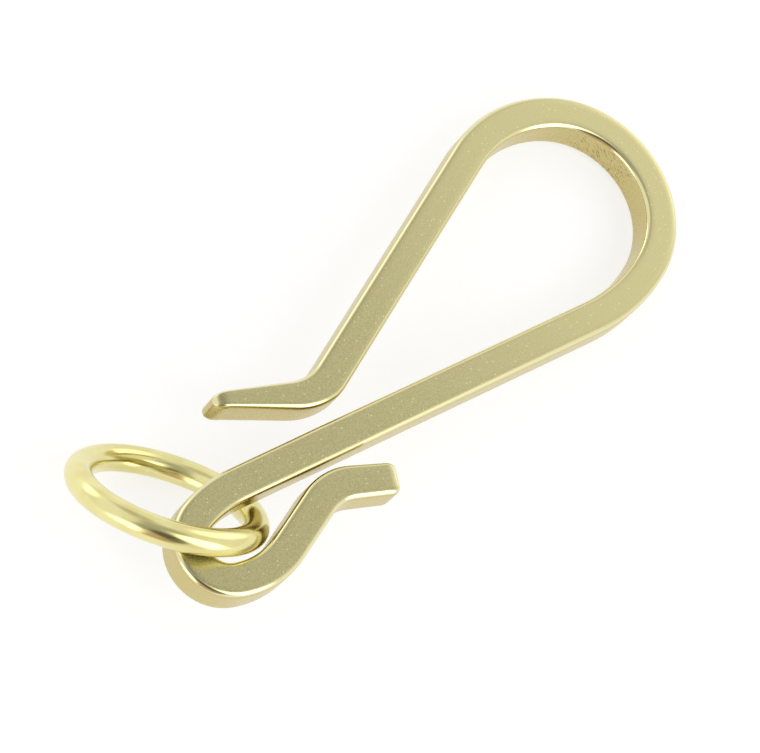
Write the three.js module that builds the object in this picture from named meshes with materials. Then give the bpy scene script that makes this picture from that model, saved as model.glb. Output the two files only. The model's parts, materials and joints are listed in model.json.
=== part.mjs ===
// A solid brass key hook: one flat-sided bar bent into a large tear-drop loop at one end and a
// small bend at the other, with a plain round-wire ring threaded over the small bend.
//
// Units are millimetres and degrees, +Z is up. The hook is drawn in its own plane with its long
// straight along X, then tipped so that it lies as it does on a table: on the rim of the large
// loop at one end and on the ring at the other.

import * as THREE from 'three';

// The bar
const BAR_WIDTH = 4.0; // across the bar, in the hook's plane
const BAR_THICKNESS = 4.6; // from the flat upper face to the flat lower face
const EDGE_RADIUS = 0.6; // the tumbled edges all round

// The long straight, and the large loop that it runs into
const LONG_STRAIGHT = 50.4;
const LOOP_ENTRY_RADIUS = 22; // the loop's three arcs, to the bar's centre line
const LOOP_ENTRY_TURN = 28.5;
const LOOP_CROWN_RADIUS = 11.8;
const LOOP_CROWN_TURN = 129.5;
const LOOP_EXIT_RADIUS = 14.8;
const LOOP_EXIT_TURN = 51;
const LOOP_ARM = 34.2; // the straight that comes back from the loop to its heel
const LOOP_HEEL_RADIUS = 7.4; // where the arm turns away again and makes the mouth
const LOOP_HEEL_TURN = 44.5;
const LOOP_LIP = 9.2; // the lip past the heel, which narrows on the side next to the bar
const LOOP_LIP_END_WIDTH = 2.1;
const LOOP_LIP_CORNER = 0.9;

// The ring
const RING_WIRE = 3.1; // diameter of the wire
const RING_INSIDE = 17.1; // inside diameter
const RING_CLEARANCE = 0.2; // from the wire to the bar, as it lies
const RING_SLIDE = 4.2; // how far along the small opening the wire lies from the bend's centre
const RING_BEARING = 51.6; // which way the ring dips, turned from the long straight
const RING_SWEEP = 70.15; // from the lowest point of the ring round to the wire in the opening

// The small bend at the other end of the long straight, with its eye round the ring's wire
const EYE_CLEARANCE = 0.75; // from the wire, in the middle of the eye, to the bar all round it
const BEND_ENTRY_RADIUS = 14.4;
const BEND_ENTRY_TURN = 24.7;
const BEND_CROWN_RADIUS = RING_WIRE / 2 + EYE_CLEARANCE + BAR_WIDTH / 2;
const BEND_CROWN_TURN = 140;
const BEND_EXIT_RADIUS = 10.1;
const BEND_EXIT_TURN = 42.3;
const BEND_ARM = 6.7;
const BEND_HEEL_RADIUS = 6.3;
const BEND_HEEL_TURN = 44.5;
const BEND_LIP = 5.4;
const BEND_LIP_END_WIDTH = 3.8;
const BEND_LIP_CORNER = 0.9;

// Fineness
const ARC_STEP = 7.5; // degrees in one facet of an arc
const EDGE_FACETS = 3; // facets across a tumbled edge
const RING_SIDES = 18;
const RING_STEPS = 64;
const LEAN_STEP = 0.25; // degrees, in the search for the ring's lean
const SLIDE_STEP = 0.1; // in the search for where the wire fits in the opening
const SETTLE_ROUNDS = 40; // halvings, in the search for the tilt on the table

const rad = THREE.MathUtils.degToRad;

// One leg of the hook, drawn from the end of the long straight. Each step turns to the left by
// `turn` degrees on `radius`, or runs straight for `length`.
const loopLeg = {
  start: { x: 0, y: 0, heading: 0 },
  steps: [
    { radius: LOOP_ENTRY_RADIUS, turn: LOOP_ENTRY_TURN },
    { radius: LOOP_CROWN_RADIUS, turn: LOOP_CROWN_TURN },
    { radius: LOOP_EXIT_RADIUS, turn: LOOP_EXIT_TURN },
    { length: LOOP_ARM },
    { radius: LOOP_HEEL_RADIUS, turn: -LOOP_HEEL_TURN },
    { length: LOOP_LIP },
  ],
  lip: { left: LOOP_LIP_END_WIDTH - BAR_WIDTH / 2, right: BAR_WIDTH / 2, corner: LOOP_LIP_CORNER },
};

const bendLeg = {
  start: { x: -LONG_STRAIGHT, y: 0, heading: 180 },
  steps: [
    { radius: BEND_ENTRY_RADIUS, turn: BEND_ENTRY_TURN },
    { radius: BEND_CROWN_RADIUS, turn: BEND_CROWN_TURN },
    { radius: BEND_EXIT_RADIUS, turn: BEND_EXIT_TURN },
    { length: BEND_ARM },
    { radius: BEND_HEEL_RADIUS, turn: -BEND_HEEL_TURN },
    { length: BEND_LIP },
  ],
  lip: { left: BEND_LIP_END_WIDTH / 2, right: BEND_LIP_END_WIDTH / 2, corner: BEND_LIP_CORNER },
};

// Walks a leg's centre line: a list of {x, y, heading} stations, and each arc's centre.
function walk(leg) {
  let { x, y, heading } = leg.start;
  const stations = [{ x, y, heading }];
  const centres = [];
  for (const step of leg.steps) {
    if (step.length !== undefined) {
      x += step.length * Math.cos(rad(heading));
      y += step.length * Math.sin(rad(heading));
      stations.push({ x, y, heading });
      continue;
    }
    const side = Math.sign(step.turn);
    const centre = {
      x: x - side * step.radius * Math.sin(rad(heading)),
      y: y + side * step.radius * Math.cos(rad(heading)),
    };
    const count = Math.max(2, Math.ceil(Math.abs(step.turn) / ARC_STEP));
    for (let k = 1; k <= count; k += 1) {
      const at = heading + (step.turn * k) / count;
      stations.push({
        x: centre.x + side * step.radius * Math.sin(rad(at)),
        y: centre.y - side * step.radius * Math.cos(rad(at)),
        heading: at,
      });
    }
    heading += step.turn;
    ({ x, y } = stations[stations.length - 1]);
    centres.push(centre);
  }
  return { stations, centres };
}

// The point `offset` to the left of a station.
function beside(station, offset) {
  return new THREE.Vector2(
    station.x - offset * Math.sin(rad(station.heading)),
    station.y + offset * Math.cos(rad(station.heading)),
  );
}

// The rounded end of a lip, from its right corner to its left corner.
function lipEnd(station, lip) {
  const points = [];
  const forward = new THREE.Vector2(Math.cos(rad(station.heading)), Math.sin(rad(station.heading)));
  const radius = Math.min(lip.corner, (lip.left + lip.right) / 2);
  const facets = Math.ceil(90 / ARC_STEP / 2);
  for (const [edge, side] of [[-lip.right, 1], [lip.left, -1]]) {
    const pivot = beside(station, edge + side * radius).addScaledVector(forward, -radius);
    for (let k = 0; k <= facets; k += 1) {
      const at = side > 0 ? (90 * k) / facets : 90 - (90 * k) / facets;
      const across = beside(station, -side * radius * Math.cos(rad(at)));
      across.sub(beside(station, 0));
      points.push(pivot.clone().add(across).addScaledVector(forward, radius * Math.sin(rad(at))));
    }
  }
  return points;
}

// One leg's share of the outline: out along its right side, round the lip, back on its left.
function legOutline(leg) {
  const { stations } = walk(leg);
  const end = stations[stations.length - 1];
  const body = stations.slice(0, -1);
  const right = body.map((station) => beside(station, -BAR_WIDTH / 2));
  const left = body.map((station) => beside(station, BAR_WIDTH / 2)).reverse();
  return [...right, ...lipEnd(end, leg.lip), ...left];
}

// The hook: its outline in the plane, raised to the bar's thickness with tumbled edges.
function hookGeometry() {
  const outline = new THREE.Shape([...legOutline(loopLeg), ...legOutline(bendLeg)]);
  const geometry = new THREE.ExtrudeGeometry(outline, {
    depth: BAR_THICKNESS - 2 * EDGE_RADIUS,
    steps: 1,
    bevelEnabled: true,
    bevelThickness: EDGE_RADIUS,
    bevelSize: EDGE_RADIUS,
    bevelOffset: -EDGE_RADIUS,
    bevelSegments: EDGE_FACETS,
  });
  return geometry.translate(0, 0, EDGE_RADIUS - BAR_THICKNESS / 2);
}

// How far a point is from the bar's surface: less than nothing inside it.
const barLine = [...walk(loopLeg).stations.reverse(), ...walk(bendLeg).stations];
function distanceToBar(point) {
  let plan = Infinity;
  for (let k = 1; k < barLine.length; k += 1) {
    const from = new THREE.Vector3(barLine[k - 1].x, barLine[k - 1].y, 0);
    const stretch = new THREE.Line3(from, new THREE.Vector3(barLine[k].x, barLine[k].y, 0));
    const flat = new THREE.Vector3(point.x, point.y, 0);
    plan = Math.min(plan, stretch.closestPointToPoint(flat, true, new THREE.Vector3()).distanceTo(flat));
  }
  const out = plan - (BAR_WIDTH / 2 - EDGE_RADIUS);
  const up = Math.abs(point.z) - (BAR_THICKNESS / 2 - EDGE_RADIUS);
  return Math.hypot(Math.max(out, 0), Math.max(up, 0)) + Math.min(Math.max(out, up), 0) - EDGE_RADIUS;
}

// The small opening: the wire passes through it, between the long straight and the bend's arm.
const ringRadius = (RING_INSIDE + RING_WIRE) / 2;
const bendCentre = walk(bendLeg).centres[1];

// The ring's place for a slide along the opening and a lean: it dips towards RING_BEARING.
function ringFrame(slide, lean) {
  const turned = new THREE.Matrix4().makeRotationZ(rad(RING_BEARING));
  turned.multiply(new THREE.Matrix4().makeRotationY(rad(lean)));
  turned.multiply(new THREE.Matrix4().makeRotationZ(rad(RING_SWEEP)));
  turned.multiply(new THREE.Matrix4().makeTranslation(ringRadius, 0, 0));
  return new THREE.Matrix4().makeTranslation(bendCentre.x + slide, bendCentre.y, 0).multiply(turned);
}

// The clear space between the ring's wire and the bar.
function ringGap(slide, lean) {
  const frame = ringFrame(slide, lean);
  let least = Infinity;
  for (let k = 0; k < RING_STEPS; k += 1) {
    const at = rad((360 * k) / RING_STEPS);
    const point = new THREE.Vector3(ringRadius * Math.cos(at), ringRadius * Math.sin(at), 0);
    least = Math.min(least, distanceToBar(point.applyMatrix4(frame)) - RING_WIRE / 2);
  }
  return least;
}

// The ring lies as flat as it can with the wire clear of the bar above it and below it. Where the
// opening is too narrow for the wire at any lean, the ring lies nearer to the bend.
function restingFrame() {
  let slide = RING_SLIDE;
  let lean = 0;
  while (slide > 0 && ringGap(slide, lean) < RING_CLEARANCE) {
    lean += LEAN_STEP;
    if (lean > 90) {
      lean = 0;
      slide -= SLIDE_STEP;
    }
  }
  return ringFrame(slide, lean);
}

const hook = new THREE.Mesh(
  hookGeometry(),
  new THREE.MeshStandardMaterial({ color: 0xb9b478, roughness: 0.42, metalness: 1 }),
);
hook.name = 'hook';

const ring = new THREE.Mesh(
  new THREE.TorusGeometry(ringRadius, RING_WIRE / 2, RING_SIDES, RING_STEPS),
  new THREE.MeshStandardMaterial({ color: 0xd9cc86, roughness: 0.18, metalness: 1 }),
);
ring.name = 'ring';
ring.applyMatrix4(restingFrame());

// The hook and its ring, tipped about Y until both the loop's rim and the ring touch the table.
const keyring = new THREE.Group();
keyring.add(hook, ring);

function lowest(mesh) {
  keyring.updateMatrixWorld(true);
  return new THREE.Box3().setFromObject(mesh, true).min.z;
}

let flat = 0;
let steep = 30;
for (let round = 0; round < SETTLE_ROUNDS; round += 1) {
  const tilt = (flat + steep) / 2;
  keyring.rotation.y = rad(tilt);
  if (lowest(ring) < lowest(hook)) {
    flat = tilt;
  } else {
    steep = tilt;
  }
}

// The origin is under the middle of the whole part, on the table.
keyring.updateMatrixWorld(true);
const box = new THREE.Box3().setFromObject(keyring, true);
keyring.position.set(-(box.min.x + box.max.x) / 2, -(box.min.y + box.max.y) / 2, -box.min.z);

export default keyring;
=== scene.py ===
import json
import math

import bmesh
import bpy
from bpy.props import FloatProperty, FloatVectorProperty, IntProperty, PointerProperty, StringProperty
from mathutils import Matrix, Vector


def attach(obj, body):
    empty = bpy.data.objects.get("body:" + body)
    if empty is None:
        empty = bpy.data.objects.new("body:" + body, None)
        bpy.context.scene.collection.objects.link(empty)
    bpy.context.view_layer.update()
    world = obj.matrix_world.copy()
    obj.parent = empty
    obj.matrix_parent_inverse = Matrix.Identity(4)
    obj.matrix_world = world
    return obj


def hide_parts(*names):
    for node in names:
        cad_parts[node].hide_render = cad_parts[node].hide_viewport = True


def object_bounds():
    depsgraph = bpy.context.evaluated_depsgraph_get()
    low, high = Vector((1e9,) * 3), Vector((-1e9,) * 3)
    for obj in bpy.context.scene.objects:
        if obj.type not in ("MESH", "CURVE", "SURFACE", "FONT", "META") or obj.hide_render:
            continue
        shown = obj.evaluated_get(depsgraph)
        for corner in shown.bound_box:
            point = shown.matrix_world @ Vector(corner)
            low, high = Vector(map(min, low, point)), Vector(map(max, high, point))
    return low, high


bl_info = {
    "name": "Brass Key Hook",
    "version": (1, 0, 0),
    "blender": (4, 5, 0),
    "location": "3D View > Sidebar > Key Hook",
    "description": "Models a double-ended brass key hook and its ring around the packed part",
    "category": "Add Mesh",
}

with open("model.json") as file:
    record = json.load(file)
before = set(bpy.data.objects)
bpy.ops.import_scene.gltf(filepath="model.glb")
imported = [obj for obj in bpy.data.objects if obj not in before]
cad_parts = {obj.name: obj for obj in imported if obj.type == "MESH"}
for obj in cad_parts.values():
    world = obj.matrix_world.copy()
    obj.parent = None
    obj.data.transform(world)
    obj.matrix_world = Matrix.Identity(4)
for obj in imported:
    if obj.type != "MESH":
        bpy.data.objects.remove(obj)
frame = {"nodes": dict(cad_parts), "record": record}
CAD_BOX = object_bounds()
MM = 0.001
MERGE_DISTANCE = 0.001 * MM
AXIS_ROUNDS = 6  # rounds that settle the ring's axis

# The hook's own plane, from the flat on the upper side of its long straight. The hook is drawn
# in that plane with the long straight along X, and its loop starts at the origin.
FLAT = frame["record"]["mounts"][0]
BAR_THICKNESS = 4.6 * MM
FLAT_FROM_LOOP = 25.0 * MM
HOOK_UP = Vector(FLAT["axis"]).normalized()
HOOK_ALONG = Vector((0, 1, 0)).cross(HOOK_UP)
HOOK_ACROSS = HOOK_UP.cross(HOOK_ALONG)
HOOK_ORIGIN = Vector(FLAT["pos_m"]) - HOOK_UP * BAR_THICKNESS / 2 + HOOK_ALONG * FLAT_FROM_LOOP
HOOK_TURN = Matrix((HOOK_ALONG, HOOK_ACROSS, HOOK_UP)).transposed()
HOOK_PLACE = Matrix.Translation(HOOK_ORIGIN) @ HOOK_TURN.to_4x4()


def measure_ring():
    """The ring's place, and the inner and outer radius, from its CAD solid."""
    points = [vertex.co for vertex in frame["nodes"]["ring"].data.vertices]
    centre = sum(points, Vector()) / len(points)
    arms = [point - centre for point in points]
    first = max(arms, key=lambda arm: arm.length)
    across = max(arms, key=lambda arm: first.cross(arm).length)
    axis = first.cross(across).normalized()
    for _ in range(AXIS_ROUNDS):
        side = axis.orthogonal().normalized()
        other = axis.cross(side)
        halves = [sum((a for a in arms if a.dot(way) > 0), Vector()) for way in (side, other)]
        axis = halves[0].cross(halves[1]).normalized()
    reach = [(arm - axis * arm.dot(axis)).length for arm in arms]
    side = axis.orthogonal().normalized()
    turn = Matrix((side, axis.cross(side), axis)).transposed()
    return Matrix.Translation(centre) @ turn.to_4x4(), min(reach), max(reach)


RING_PLACE, RING_INSIDE, RING_OUTSIDE = measure_ring()


class BarSizes(bpy.types.PropertyGroup):
    """The bar that the hook is bent from."""

    width: FloatProperty(
        name="Width", description="Across the bar, in the hook's plane",
        default=4.0 * MM, unit="LENGTH",
    )
    thickness: FloatProperty(
        name="Thickness", description="From flat to flat", default=BAR_THICKNESS, unit="LENGTH"
    )
    edge: FloatProperty(
        name="Edge radius", description="Tumbled edges all round", default=0.72 * MM, unit="LENGTH"
    )
    straight: FloatProperty(
        name="Long straight", description="From the loop to the small bend",
        default=50.4 * MM, unit="LENGTH",
    )
    spacing: FloatProperty(
        name="Spacing", description="Between sections of the mesh", default=0.5 * MM, unit="LENGTH"
    )


class LoopSizes(bpy.types.PropertyGroup):
    """The large tear-drop loop, from the long straight to its lip, along the bar's centre line."""

    entry_radius: FloatProperty(
        name="Entry radius", description="Of the gentle bend that leaves the long straight",
        default=22.0 * MM, unit="LENGTH",
    )
    entry_turn: FloatProperty(
        name="Entry turn", description="How far the gentle bend turns",
        default=math.radians(28.5), unit="ROTATION",
    )
    crown_radius: FloatProperty(
        name="Crown radius", description="Of the tight bend in the middle",
        default=11.8 * MM, unit="LENGTH",
    )
    crown_turn: FloatProperty(
        name="Crown turn", description="How far the tight bend turns",
        default=math.radians(129.5), unit="ROTATION",
    )
    exit_radius: FloatProperty(
        name="Exit radius", description="Of the bend that runs into the arm",
        default=14.8 * MM, unit="LENGTH",
    )
    exit_turn: FloatProperty(
        name="Exit turn", description="How far the bend into the arm turns",
        default=math.radians(51.0), unit="ROTATION",
    )
    arm: FloatProperty(
        name="Arm", description="The straight that comes back towards the heel",
        default=34.2 * MM, unit="LENGTH",
    )
    heel_radius: FloatProperty(
        name="Heel radius", description="Of the bend at the mouth, which turns away again",
        default=7.4 * MM, unit="LENGTH",
    )
    heel_turn: FloatProperty(
        name="Heel turn", description="How far the heel turns",
        default=math.radians(44.5), unit="ROTATION",
    )
    lip: FloatProperty(
        name="Lip", description="From the heel to the tip",
        default=9.6 * MM, unit="LENGTH",
    )
    taper: FloatProperty(
        name="Taper", description="Length over which the inner side narrows",
        default=12.0 * MM, unit="LENGTH",
    )
    end_width: FloatProperty(
        name="End width", description="Across the lip, where its dome starts",
        default=2.1 * MM, unit="LENGTH",
    )
    dome: FloatProperty(
        name="Dome", description="How far the rounding of the end reaches back",
        default=1.9 * MM, unit="LENGTH",
    )
    round_across: FloatProperty(
        name="Rounding across", description="Taken off each side at the end",
        default=0.9 * MM, unit="LENGTH",
    )
    round_over: FloatProperty(
        name="Rounding over", description="Taken off the upper side at the end",
        default=0.9 * MM, unit="LENGTH",
    )
    round_under: FloatProperty(
        name="Rounding under", description="Taken off the lower side at the end",
        default=0.6 * MM, unit="LENGTH",
    )


class BendSizes(bpy.types.PropertyGroup):
    """The small bend that holds the ring, from the long straight to its lip."""

    entry_radius: FloatProperty(
        name="Entry radius", description="Of the gentle bend that leaves the long straight",
        default=14.4 * MM, unit="LENGTH",
    )
    entry_turn: FloatProperty(
        name="Entry turn", description="How far the gentle bend turns",
        default=math.radians(24.7), unit="ROTATION",
    )
    crown_radius: FloatProperty(
        name="Crown radius", description="Of the tight bend in the middle",
        default=4.3 * MM, unit="LENGTH",
    )
    crown_turn: FloatProperty(
        name="Crown turn", description="How far the tight bend turns",
        default=math.radians(140.0), unit="ROTATION",
    )
    exit_radius: FloatProperty(
        name="Exit radius", description="Of the bend that runs into the arm",
        default=10.1 * MM, unit="LENGTH",
    )
    exit_turn: FloatProperty(
        name="Exit turn", description="How far the bend into the arm turns",
        default=math.radians(42.3), unit="ROTATION",
    )
    arm: FloatProperty(
        name="Arm", description="The straight that comes back towards the heel",
        default=6.7 * MM, unit="LENGTH",
    )
    heel_radius: FloatProperty(
        name="Heel radius", description="Of the bend at the mouth, which turns away again",
        default=6.3 * MM, unit="LENGTH",
    )
    heel_turn: FloatProperty(
        name="Heel turn", description="How far the heel turns",
        default=math.radians(44.5), unit="ROTATION",
    )
    lip: FloatProperty(
        name="Lip", description="From the heel to the tip",
        default=5.4 * MM, unit="LENGTH",
    )
    taper: FloatProperty(
        name="Taper", description="Length over which the inner side narrows",
        default=5.4 * MM, unit="LENGTH",
    )
    end_width: FloatProperty(
        name="End width", description="Across the lip, where its dome starts",
        default=3.8 * MM, unit="LENGTH",
    )
    dome: FloatProperty(
        name="Dome", description="How far the rounding of the end reaches back",
        default=1.1 * MM, unit="LENGTH",
    )
    round_across: FloatProperty(
        name="Rounding across", description="Taken off each side at the end",
        default=0.7 * MM, unit="LENGTH",
    )
    round_over: FloatProperty(
        name="Rounding over", description="Taken off the upper side at the end",
        default=0.5 * MM, unit="LENGTH",
    )
    round_under: FloatProperty(
        name="Rounding under", description="Taken off the lower side at the end",
        default=1.8 * MM, unit="LENGTH",
    )


class RingSizes(bpy.types.PropertyGroup):
    """The key ring, of round wire."""

    wire: FloatProperty(
        name="Wire", description="Its diameter", default=RING_OUTSIDE - RING_INSIDE, unit="LENGTH"
    )
    radius: FloatProperty(
        name="Radius", description="To the middle of the wire",
        default=(RING_OUTSIDE + RING_INSIDE) / 2, unit="LENGTH",
    )
    sides: IntProperty(name="Sides", description="Facets round the wire", default=48)
    steps: IntProperty(name="Steps", description="Facets round the ring", default=240)


class BrassColours(bpy.types.PropertyGroup):
    """The colours of the brass finishes and the floor, as sRGB hex values."""

    tumbled: StringProperty(
        name="Tumbled brass", description="The tops of the tumbled grain", default="#BBB486"
    )
    tumbled_dull: StringProperty(
        name="Dull grain", description="The hollows of the tumbled grain", default="#ABA578"
    )
    # The tops turn to this lighter colour towards the far end of the loop.
    lighter_to_loop: StringProperty(
        name="Handled brass", description="The loop's end, rubbed brighter by hands",
        default="#C7BF8D",
    )
    # The sides' deeper gold is partly their own tone and partly a painted reflection of the white floor
    # that they face.
    side: StringProperty(
        name="Side brass", description="The bar's sides, a deeper gold", default="#CABB80"
    )
    # Wear makes the rounded edges bright; this colour is brighter still as a painted highlight along
    # them, and gives the nicks a painted glint.
    wear_and_highlight: StringProperty(
        name="Worn edge", description="The bar's rounded edges, worn bright", default="#E4DCAA"
    )
    rubbed: StringProperty(
        name="Former marks", description="Dark marks that the bending former left",
        default="#8A7346",
    )
    polished: StringProperty(
        name="Polished brass", description="The ring", default="#E8E0A2"
    )
    polished_deep: StringProperty(
        name="Polished brass, deeper tone", description="Slow changes of tone on the ring",
        default="#DDD391",
    )
    floor: StringProperty(
        name="Floor", description="A sheet of white acrylic", default="#ACACAC"
    )


class StudioSettings(bpy.types.PropertyGroup):
    """The camera's place round the object."""

    azimuth: FloatProperty(
        name="Azimuth", description="The camera's bearing round the object",
        default=math.radians(-67.97), unit="ROTATION",
    )
    elevation: FloatProperty(
        name="Elevation", description="The camera's height above the floor, as an angle",
        default=math.radians(66.203), unit="ROTATION",
    )
    roll: FloatProperty(
        name="Roll", description="How far the camera is turned about its own line of sight",
        default=math.radians(39.848), unit="ROTATION",
    )
    distance: FloatProperty(
        name="Distance", description="From the camera to what it looks at",
        default=419.06 * MM, unit="LENGTH",
    )
    aim: FloatVectorProperty(
        name="Aim", description="What the camera looks at, from the middle of the object's box",
        default=(-2.987 * MM, -3.093 * MM, -1.733 * MM), size=3, unit="LENGTH",
    )
    lens: FloatProperty(name="Lens", description="Focal length in millimetres", default=177.71)


class KeyHookSettings(bpy.types.PropertyGroup):
    """Every size and colour of the key hook."""

    bar: PointerProperty(name="Bar", description="The hook's bar", type=BarSizes)
    loop: PointerProperty(name="Loop", description="The large loop", type=LoopSizes)
    bend: PointerProperty(name="Bend", description="The small bend", type=BendSizes)
    ring: PointerProperty(name="Ring", description="The key ring", type=RingSizes)
    colours: PointerProperty(name="Colours", description="The brass and the floor", type=BrassColours)
    studio: PointerProperty(name="Studio", description="Where the camera stands", type=StudioSettings)


FLAT_CUTS = 5  # cuts across each flat of the bar's section
EDGE_FACETS = 6  # facets round each tumbled edge of the section
DOME_STEPS = 10  # sections in the rounding of a lip's end
TAPER_STEP = 0.4 * MM  # between sections where the bar narrows
LONG_EDGE_ANGLE = math.radians(50)  # the hook's sharper edges stay crisp

GRIT = 0.2 * MM  # the tumbled grain, drawn a little coarser than real so that it shows
GRAIN_DEPTH = 0.012 * MM
NICK_SPACING = 0.7 * MM  # between the small nicks, whose bright colour is a painted glint
MARK_LENGTH = 1.2 * MM  # the former's marks, which lie aslant on the loop's inner side
MARK_WIDTH = 0.13 * MM
MARK_SLANT = math.radians(-50)
MARKS_BEARING = math.radians(25)  # where they are densest, seen from the crown's centre
CLOUDS = 5 * MM  # slow changes of tone
RIPPLE = 1.2 * MM  # the polished wire's slight unevenness
RIPPLE_DEPTH = 0.01 * MM

FLOOR_SIZE = 6.0  # metres


def linear(hex_colour):
    """An sRGB hex value as linear red, green, blue and alpha."""
    channels = [int(hex_colour[k : k + 2], 16) / 255 for k in (1, 3, 5)]
    return [c / 12.92 if c <= 0.04045 else ((c + 0.055) / 1.055) ** 2.4 for c in channels] + [1.0]


def add_node(tree, kind, values=None, links=None, **settings):
    """Adds a node with its settings, the values of its sockets and the links into them."""
    node = tree.nodes.new(kind)
    for name, value in settings.items():
        setattr(node, name, value)
    for socket, value in (values or {}).items():
        node.inputs[socket].default_value = value
    for socket, source in (links or {}).items():
        tree.links.new(source, node.inputs[socket])
    return node


# Modelling helpers


def selected_points(obj):
    """Where the selected vertices are, in edit mode."""
    mesh = bmesh.from_edit_mesh(obj.data)
    return [vertex.co.copy() for vertex in mesh.verts if vertex.select]


def select_where(obj, test):
    """In edit mode, selects only the vertices whose place passes the test."""
    bpy.ops.mesh.select_mode(type="VERT")
    bpy.ops.mesh.select_all(action="DESELECT")
    mesh = bmesh.from_edit_mesh(obj.data)
    for vertex in mesh.verts:
        vertex.select = bool(test(vertex.co))
    mesh.select_flush(True)
    bmesh.update_edit_mesh(obj.data)


def close_mesh():
    """Merges a modelled mesh's doubles, turns its faces outwards and leaves edit mode."""
    bpy.ops.mesh.select_all(action="SELECT")
    bpy.ops.mesh.remove_doubles(threshold=MERGE_DISTANCE)
    bpy.ops.mesh.normals_make_consistent(inside=False)
    bpy.ops.object.mode_set(mode="OBJECT")


def settle_piece(obj, place, angle):
    """Puts a closed mesh in its place in the CAD frame and shades it."""
    obj.data.transform(place)
    obj.data.update()
    bpy.ops.object.shade_smooth_by_angle(angle=angle)
    for modifier in list(obj.modifiers):
        bpy.ops.object.modifier_apply(modifier=modifier.name)


def draw_section(bar):
    """The bar's section as a wire outline in the YZ plane, ready to be extruded either way."""
    bpy.ops.object.select_all(action="DESELECT")
    bpy.ops.mesh.primitive_plane_add(size=1, rotation=(0, math.pi / 2, 0))
    obj = bpy.context.object
    obj.name = obj.data.name = "brass_hook"
    bpy.ops.object.transform_apply(location=False, rotation=True, scale=False)
    bpy.ops.object.mode_set(mode="EDIT")
    bpy.ops.mesh.select_all(action="SELECT")
    bpy.ops.transform.resize(value=(1, bar.width, bar.thickness))
    bpy.ops.mesh.delete(type="ONLY_FACE")
    bpy.ops.mesh.select_all(action="SELECT")
    bpy.ops.mesh.bevel(offset=bar.edge, segments=EDGE_FACETS, affect="VERTICES", clamp_overlap=False)
    mesh = bmesh.from_edit_mesh(obj.data)
    for edge in mesh.edges:
        edge.select_set(edge.calc_length() > bar.edge)
    bmesh.update_edit_mesh(obj.data)
    bpy.ops.mesh.subdivide(number_cuts=FLAT_CUTS)
    bpy.ops.mesh.select_all(action="SELECT")
    return obj


class BarPen:
    """Extrudes the selected end of the bar along straights and arcs in the hook's plane."""

    def __init__(self, obj, bar, heading):
        self.obj = obj
        self.bar = bar
        self.heading = heading
        self.width = bar.width
        self.thickness = bar.thickness

    def forward(self):
        return Vector((math.cos(self.heading), math.sin(self.heading), 0))

    def left(self):
        return Vector((-math.sin(self.heading), math.cos(self.heading), 0))

    def middle(self):
        points = selected_points(self.obj)
        low = Vector(min(point[k] for point in points) for k in range(3))
        high = Vector(max(point[k] for point in points) for k in range(3))
        return (low + high) / 2

    def straight(self, length, steps=None):
        """A straight stretch."""
        steps = steps or max(1, round(length / self.bar.spacing))
        for _ in range(steps):
            bpy.ops.mesh.extrude_region_move(
                TRANSFORM_OT_translate={"value": self.forward() * length / steps}
            )

    def arc(self, radius, turn):
        """A bend to the left, or to the right where turn is below zero."""
        side = math.copysign(1, turn)
        centre = self.middle() + self.left() * radius * side
        steps = max(4, round(abs(turn) * radius / self.bar.spacing))
        bpy.ops.mesh.spin(steps=steps, angle=abs(turn), center=centre, axis=(0, 0, -side))
        self.heading += turn

    def step(self, forward, width, thickness, up=0.0):
        """One more section, moved and resized to a new width and thickness."""
        move = self.forward() * forward + Vector((0, 0, up))
        bpy.ops.mesh.extrude_region_move(TRANSFORM_OT_translate={"value": move})
        bpy.ops.transform.resize(
            value=(1, width / self.width, thickness / self.thickness),
            orient_type="GLOBAL",
            orient_matrix=Matrix.Rotation(self.heading, 3, "Z"),
            orient_matrix_type="GLOBAL",
            center_override=self.middle(),
        )
        self.width = width
        self.thickness = thickness

    def narrow(self, loss):
        """Takes width off the left side of the selected end."""
        bpy.ops.transform.resize(
            value=(1, 1 - loss / self.width, 1),
            orient_type="GLOBAL",
            orient_matrix=Matrix.Rotation(self.heading, 3, "Z"),
            orient_matrix_type="GLOBAL",
            center_override=self.middle() - self.left() * self.width / 2,
        )
        self.width -= loss

    def heel(self, leg):
        """The heel's bend to the right, in which the lip may start to narrow."""
        early = max(0.0, leg.taper - (leg.lip - leg.dome))
        plain = leg.heel_turn - early / leg.heel_radius
        self.arc(leg.heel_radius, -plain)
        steps = math.ceil(early / TAPER_STEP)
        centre = self.middle() - self.left() * leg.heel_radius
        for _ in range(steps):
            turn = (leg.heel_turn - plain) / steps
            bpy.ops.mesh.spin(steps=1, angle=turn, center=centre, axis=(0, 0, 1))
            self.heading -= turn
            self.narrow((self.bar.width - leg.end_width) * early / leg.taper / steps)

    def lip(self, leg):
        """The lip: it narrows on its left side, and its end is domed."""
        run = leg.lip - leg.dome
        steps = math.ceil(run / TAPER_STEP)
        loss = (self.width - leg.end_width) / steps
        for _ in range(steps):
            self.straight(run / steps, 1)
            self.narrow(loss)
        width, thickness, reached, lifted = self.width, self.thickness, 0.0, 0.0
        for k in range(1, DOME_STEPS + 1):
            at = math.pi / 2 * k / DOME_STEPS
            lost = 1 - math.cos(at)
            lift = (leg.round_under - leg.round_over) / 2 * lost
            self.step(
                leg.dome * math.sin(at) - reached,
                width - 2 * leg.round_across * lost,
                thickness - (leg.round_over + leg.round_under) * lost,
                up=lift - lifted,
            )
            reached, lifted = leg.dome * math.sin(at), lift
        bpy.ops.mesh.edge_face_add()

    def leg(self, leg):
        """The whole of one end of the hook, from the long straight to the lip."""
        self.arc(leg.entry_radius, leg.entry_turn)
        self.arc(leg.crown_radius, leg.crown_turn)
        self.arc(leg.exit_radius, leg.exit_turn)
        self.straight(leg.arm)
        self.heel(leg)
        self.lip(leg)


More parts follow.
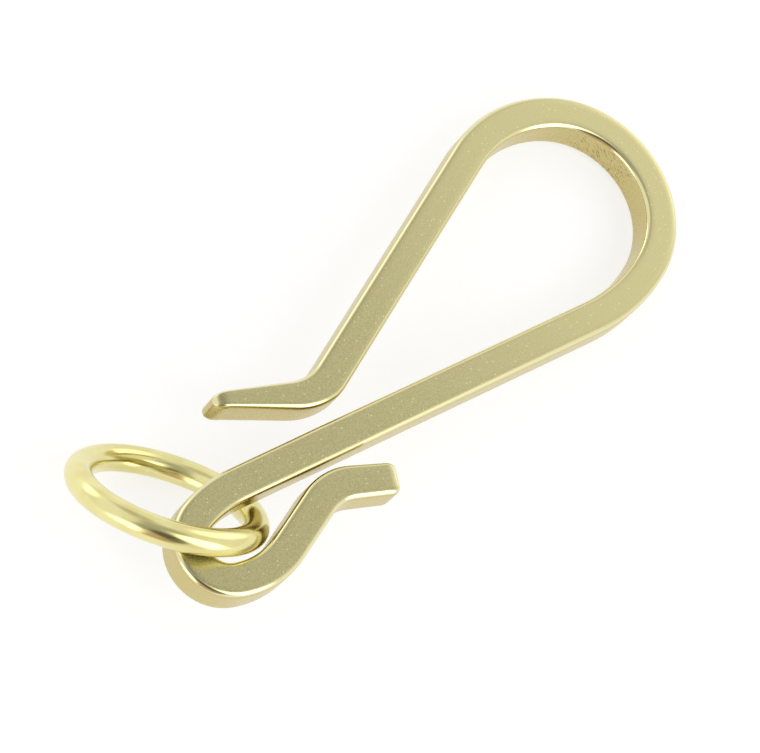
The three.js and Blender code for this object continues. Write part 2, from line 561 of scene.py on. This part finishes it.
def note_surface(obj, loop):
    """Stores where the bar is an edge, where it is a side, and where the former marked it."""
    names = ("edge_wear_and_highlight", "side_share", "former_marks")
    layers = [obj.data.attributes.new(name, "FLOAT", "POINT").data for name in names]
    beyond = loop.entry_radius - loop.crown_radius
    crown = Vector(
        (beyond * math.sin(loop.entry_turn), loop.entry_radius - beyond * math.cos(loop.entry_turn))
    )
    marked = Vector((math.cos(MARKS_BEARING), math.sin(MARKS_BEARING)))
    for vertex in obj.data.vertices:
        side = 1 - vertex.normal.z ** 2
        arm = vertex.co.xy - crown
        inner = arm.length < loop.crown_radius and vertex.normal.xy.dot(arm) < 0
        values = (4 * side * (1 - side), side, side * inner * max(0.0, arm.normalized().dot(marked)))
        for layer, value in zip(layers, values):
            layer[vertex.index].value = value


# Materials


def metal(name):
    """A new material of bare metal, with its tree, its shader and the piece's own coordinates."""
    material = bpy.data.materials.new(name)
    material.use_nodes = True
    tree = material.node_tree
    shader = tree.nodes["Principled BSDF"]
    shader.inputs["Metallic"].default_value = 1.0
    place = add_node(tree, "ShaderNodeTexCoord").outputs["Object"]
    return material, tree, shader, place


def blend_colours(tree, share, first, second):
    """The first plain colour, turning to the second as share goes from 0 to 1."""
    mix = add_node(tree, "ShaderNodeMix", {6: first, 7: second}, {0: share}, data_type="RGBA")
    return mix.outputs[2]


def layer_over(tree, share, under, colour):
    """A colour that comes from a node, covered by a plain one as share goes from 0 to 1."""
    mix = add_node(tree, "ShaderNodeMix", {7: colour}, {0: share, 6: under}, data_type="RGBA")
    return mix.outputs[2]


def spread(tree, value, low, high, to_low=0.0, to_high=1.0):
    """A value's range from low to high, stretched smoothly over another range."""
    stretch = add_node(
        tree, "ShaderNodeMapRange",
        {"From Min": low, "From Max": high, "To Min": to_low, "To Max": to_high},
        {"Value": value}, interpolation_type="SMOOTHSTEP",
    )
    return stretch.outputs["Result"]


def stored(tree, name):
    """A number stored on the piece's points."""
    return add_node(tree, "ShaderNodeAttribute", attribute_name=name).outputs["Fac"]


def tumbled_brass(colours):
    """Solid brass bar, tumbled in a drum of grit: a fine grain; small nicks, whose bright colour is a
    painted glint; edges worn bright, and brighter still as a painted highlight; sides partly coloured as
    a painted reflection of the floor.
    """
    material, tree, shader, place = metal("tumbled_brass")
    edge, side, marked = (stored(tree, name) for name in ("edge_wear_and_highlight", "side_share", "former_marks"))
    grain = add_node(
        tree, "ShaderNodeTexNoise",
        {"Scale": 1 / GRIT, "Detail": 2.0, "Roughness": 0.55}, {"Vector": place},
    ).outputs["Fac"]
    nicks = add_node(
        tree, "ShaderNodeTexVoronoi", {"Scale": 1 / NICK_SPACING, "Randomness": 1.0}, {"Vector": place}
    ).outputs["Distance"]
    # Small nicks: real dents in the bump, with a painted glint in their bright colour.
    nick_and_glint = spread(tree, nicks, 0.08, 0.14, 0.9, 0.0)
    aslant = add_node(
        tree, "ShaderNodeMapping",
        {
            "Rotation": (0, MARK_SLANT, MARKS_BEARING + math.pi / 2),
            "Scale": (MARK_LENGTH, MARK_WIDTH, MARK_WIDTH),
        },
        {"Vector": place}, vector_type="TEXTURE",
    ).outputs["Vector"]
    streaks = add_node(
        tree, "ShaderNodeTexNoise", {"Scale": 1.0, "Detail": 2.0}, {"Vector": aslant}
    ).outputs["Fac"]
    streak = add_node(
        tree, "ShaderNodeMath", None,
        {0: spread(tree, streaks, 0.54, 0.7), 1: spread(tree, marked, 0.84, 0.98)}, operation="MULTIPLY",
    ).outputs["Value"]
    along = add_node(tree, "ShaderNodeSeparateXYZ", None, {"Vector": place}).outputs["X"]
    dull, bright = linear(colours.tumbled_dull), linear(colours.tumbled)
    colour = blend_colours(tree, spread(tree, grain, 0.3, 0.7), dull, bright)
    for share, tone in (
        # tops lighter towards the far end of the loop
        (spread(tree, along, -15 * MM, 36 * MM), colours.lighter_to_loop),
        # the sides: partly a painted reflection of the white floor
        (spread(tree, side, 0.8, 1.0), colours.side),
        # the nicks' painted glint
        (nick_and_glint, colours.wear_and_highlight),
        # the rounded edges: wear, and a painted highlight
        (spread(tree, edge, 0.2, 0.8), colours.wear_and_highlight),
        (streak, colours.rubbed),
    ):
        colour = layer_over(tree, share, colour, linear(tone))
    tree.links.new(colour, shader.inputs["Base Color"])
    grit = spread(tree, grain, 0.3, 0.7, 0.25, 0.33)
    rough = add_node(
        tree, "ShaderNodeMix", {"B": 0.1}, {"Factor": spread(tree, edge, 0.2, 0.8), "A": grit}
    ).outputs["Result"]
    tree.links.new(rough, shader.inputs["Roughness"])
    height = add_node(
        tree, "ShaderNodeMath", {1: 0.6}, {0: nick_and_glint, 2: grain}, operation="MULTIPLY_ADD"
    ).outputs["Value"]
    bump = add_node(
        tree, "ShaderNodeBump", {"Distance": GRAIN_DEPTH},
        {"Height": height, "Strength": spread(tree, edge, 0.2, 0.8, 0.45, 0.12)},
    )
    tree.links.new(bump.outputs["Normal"], shader.inputs["Normal"])
    return material


def polished_brass(colours):
    """Solid brass wire, polished on a mop: nearly a mirror, with slow changes of tone."""
    material, tree, shader, place = metal("polished_brass")
    tone = add_node(
        tree, "ShaderNodeTexNoise", {"Scale": 1 / CLOUDS, "Detail": 3.0}, {"Vector": place}
    ).outputs["Fac"]
    deep, bright = linear(colours.polished_deep), linear(colours.polished)
    colour = blend_colours(tree, spread(tree, tone, 0.35, 0.65), deep, bright)
    tree.links.new(colour, shader.inputs["Base Color"])
    tree.links.new(spread(tree, tone, 0.3, 0.7, 0.13, 0.19), shader.inputs["Roughness"])
    ripple = add_node(
        tree, "ShaderNodeTexNoise", {"Scale": 1 / RIPPLE, "Detail": 2.0}, {"Vector": place}
    ).outputs["Fac"]
    bump = add_node(
        tree, "ShaderNodeBump", {"Strength": 0.35, "Distance": RIPPLE_DEPTH}, {"Height": ripple}
    )
    tree.links.new(bump.outputs["Normal"], shader.inputs["Normal"])
    return material


def pale_floor(colours):
    """A sheet of white acrylic, lit from below so that shadows stay faint."""
    material = bpy.data.materials.new("pale_floor")
    material.use_nodes = True
    shader = material.node_tree.nodes["Principled BSDF"]
    shader.inputs["Base Color"].default_value = linear(colours.floor)
    shader.inputs["Roughness"].default_value = 0.9
    shader.inputs["Specular IOR Level"].default_value = 0.1
    shader.inputs["Emission Color"].default_value = (1, 1, 1, 1)
    shader.inputs["Emission Strength"].default_value = 0.66
    return material


# The studio: a white tent, dimmer overhead, with soft boxes and darker openings in it. Each patch
# is its middle's angle from the zenith, its bearing from +X, its half width and its half height,
# in degrees, and then its light as linear red, green, blue and alpha.
TENT_OVERHEAD = (0.50, 0.50, 0.50, 1)
TENT_SIDES = (0.98, 0.98, 0.98, 1)
TENT_PATCHES = (
    (32, -165, 16, 20, (0.43, 0.43, 0.42, 1)),
    (42, 75, 14, 22, (0.66, 0.64, 0.60, 1)),
    (74, -140, 21, 24, (0.60, 0.45, 0.33, 1)),
    (54, -116, 13, 20, (0.26, 0.25, 0.23, 1)),
    (38, -132, 15, 17, (0.13, 0.12, 0.10, 1)),
    (72, 10, 17, 24, (1.75, 1.75, 1.75, 1)),
    (88, 100, 18, 16, (2.0, 2.0, 2.0, 1)),
    (80, -172, 18, 26, (2.1, 2.1, 2.1, 1)),
    (55, -73, 16, 38, (2.7, 2.7, 2.7, 1)),
)
PATCH_SOFTNESS = 0.35  # how much of a patch's half size its edge fades over


def tent_patch(tree, direction, polar, bearing, across, along):
    """How much of a direction falls in a patch of the tent: 1 in its middle, 0 outside it."""
    polar, bearing = math.radians(polar), math.radians(bearing)
    rise = math.sin(polar)
    middle = Vector((rise * math.cos(bearing), rise * math.sin(bearing), math.cos(polar)))
    side = Vector((-math.sin(bearing), math.cos(bearing), 0))
    down = middle.cross(side)
    reach = [side / math.sin(math.radians(across)), down / math.sin(math.radians(along))]
    dots = [
        add_node(tree, "ShaderNodeVectorMath", {1: axis}, {0: direction}, operation="DOT_PRODUCT")
        for axis in reach + [middle]
    ]
    flat = add_node(
        tree, "ShaderNodeCombineXYZ", None, {"X": dots[0].outputs["Value"], "Y": dots[1].outputs["Value"]}
    )
    length = add_node(
        tree, "ShaderNodeVectorMath", None, {0: flat.outputs["Vector"]}, operation="LENGTH"
    ).outputs["Value"]
    inside = spread(tree, length, 1 - PATCH_SOFTNESS, 1 + PATCH_SOFTNESS, 1.0, 0.0)
    front = spread(tree, dots[2].outputs["Value"], 0.0, 0.1)
    both = add_node(tree, "ShaderNodeMath", None, {0: inside, 1: front}, operation="MULTIPLY")
    return both.outputs["Value"]


def studio_world():
    """The light tent as a world. Seen directly it is plain white, as the floor is."""
    world = bpy.data.worlds.new("studio")
    world.use_nodes = True
    tree = world.node_tree
    direction = add_node(tree, "ShaderNodeTexCoord").outputs["Generated"]
    height = add_node(tree, "ShaderNodeSeparateXYZ", None, {"Vector": direction}).outputs["Z"]
    colour = blend_colours(tree, spread(tree, height, 0.97, 0.84), TENT_OVERHEAD, TENT_SIDES)
    for polar, bearing, across, along, light in TENT_PATCHES:
        share = tent_patch(tree, direction, polar, bearing, across, along)
        colour = layer_over(tree, share, colour, light)
    seen = add_node(tree, "ShaderNodeLightPath").outputs["Is Camera Ray"]
    colour = layer_over(tree, seen, colour, (1, 1, 1, 1))
    tree.links.new(colour, tree.nodes["Background"].inputs["Color"])
    return world


# Operators


class KEYHOOK_OT_hook(bpy.types.Operator):
    """Model the hook from a bar drawn along its straights and bends."""

    bl_idname = "keyhook.hook"
    bl_label = "Brass Hook"

    def execute(self, context):
        sizes = context.scene.key_hook
        obj = draw_section(sizes.bar)
        BarPen(obj, sizes.bar, 0.0).leg(sizes.loop)
        select_where(obj, lambda co: abs(co.x) < MERGE_DISTANCE and abs(co.y) < sizes.bar.width)
        pen = BarPen(obj, sizes.bar, math.pi)
        pen.straight(sizes.bar.straight)
        pen.leg(sizes.bend)
        close_mesh()
        note_surface(obj, sizes.loop)
        settle_piece(obj, HOOK_PLACE, LONG_EDGE_ANGLE)
        obj.data.materials.append(tumbled_brass(sizes.colours))
        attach(obj, "hook")
        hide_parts("hook")
        return {"FINISHED"}


class KEYHOOK_OT_ring(bpy.types.Operator):
    """Model the key ring by spinning its wire's section round its axis."""

    bl_idname = "keyhook.ring"
    bl_label = "Key Ring"

    def execute(self, context):
        sizes = context.scene.key_hook
        bpy.ops.object.select_all(action="DESELECT")
        bpy.ops.mesh.primitive_circle_add(
            vertices=sizes.ring.sides, radius=sizes.ring.wire / 2, fill_type="NOTHING",
            location=(sizes.ring.radius, 0, 0), rotation=(math.pi / 2, 0, 0),
        )
        obj = context.object
        obj.name = obj.data.name = "key_ring"
        bpy.ops.object.transform_apply()
        bpy.ops.object.mode_set(mode="EDIT")
        bpy.ops.mesh.select_all(action="SELECT")
        bpy.ops.mesh.spin(steps=sizes.ring.steps, angle=math.tau, center=(0, 0, 0), axis=(0, 0, 1))
        close_mesh()
        settle_piece(obj, RING_PLACE, math.pi)
        obj.data.materials.append(polished_brass(sizes.colours))
        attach(obj, "ring")
        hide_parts("ring")
        return {"FINISHED"}


class KEYHOOK_OT_stage(bpy.types.Operator):
    """Lay the pale floor, and set the camera and the studio light."""

    bl_idname = "keyhook.stage"
    bl_label = "Stage"

    def execute(self, context):
        studio = context.scene.key_hook.studio
        bpy.ops.object.select_all(action="DESELECT")
        bpy.ops.mesh.primitive_plane_add(size=FLOOR_SIZE, location=(0, 0, CAD_BOX[0].z))
        floor = context.object
        floor.name = floor.data.name = "floor"
        floor.data.materials.append(pale_floor(context.scene.key_hook.colours))
        context.scene.world = studio_world()
        context.scene.view_settings.view_transform = "Standard"
        place_camera(context, studio)
        return {"FINISHED"}


def place_camera(context, studio):
    """A camera at the studio settings' place."""
    camera = bpy.data.objects.new("camera", bpy.data.cameras.new("camera"))
    context.scene.collection.objects.link(camera)
    flat = math.cos(studio.elevation)
    back = Vector(
        (
            math.sin(studio.azimuth) * flat,
            -math.cos(studio.azimuth) * flat,
            math.sin(studio.elevation),
        )
    )
    right = Vector((0, 0, 1)).cross(back).normalized()
    turn = Matrix((right, back.cross(right), back)).transposed().to_4x4()
    target = (CAD_BOX[0] + CAD_BOX[1]) / 2 + Vector(studio.aim)
    place = Matrix.Translation(target + back * studio.distance)
    camera.matrix_world = place @ turn @ Matrix.Rotation(studio.roll, 4, "Z")
    camera.data.lens = studio.lens
    camera.data.clip_start = studio.distance / 100
    camera.data.clip_end = studio.distance * 100
    context.scene.camera = camera


class KEYHOOK_PT_panel(bpy.types.Panel):
    """Lists the key hook's operators, and its settings in their groups."""

    bl_label = "Key Hook"
    bl_idname = "KEYHOOK_PT_panel"
    bl_space_type = "VIEW_3D"
    bl_region_type = "UI"
    bl_category = "Key Hook"

    def draw(self, context):
        for operator in PIECES:
            self.layout.operator(operator.bl_idname)
        settings = context.scene.key_hook
        for group in ("bar", "loop", "bend", "ring", "colours", "studio"):
            box = self.layout.box()
            box.label(text=group.capitalize())
            values = getattr(settings, group)
            for name in values.bl_rna.properties.keys():
                if name not in ("rna_type", "name"):
                    box.prop(values, name)


SETTINGS = (
    BarSizes, LoopSizes, BendSizes, RingSizes, BrassColours, StudioSettings, KeyHookSettings
)
PIECES = (KEYHOOK_OT_stage, KEYHOOK_OT_hook, KEYHOOK_OT_ring)


def register():
    for cls in SETTINGS + PIECES + (KEYHOOK_PT_panel,):
        bpy.utils.register_class(cls)
    bpy.types.Scene.key_hook = PointerProperty(type=KeyHookSettings)


def unregister():
    del bpy.types.Scene.key_hook
    for cls in reversed(SETTINGS + PIECES + (KEYHOOK_PT_panel,)):
        bpy.utils.unregister_class(cls)


def main():
    register()
    bpy.ops.keyhook.stage()
    bpy.ops.keyhook.hook()
    bpy.ops.keyhook.ring()


if __name__ == "__main__":
    main()
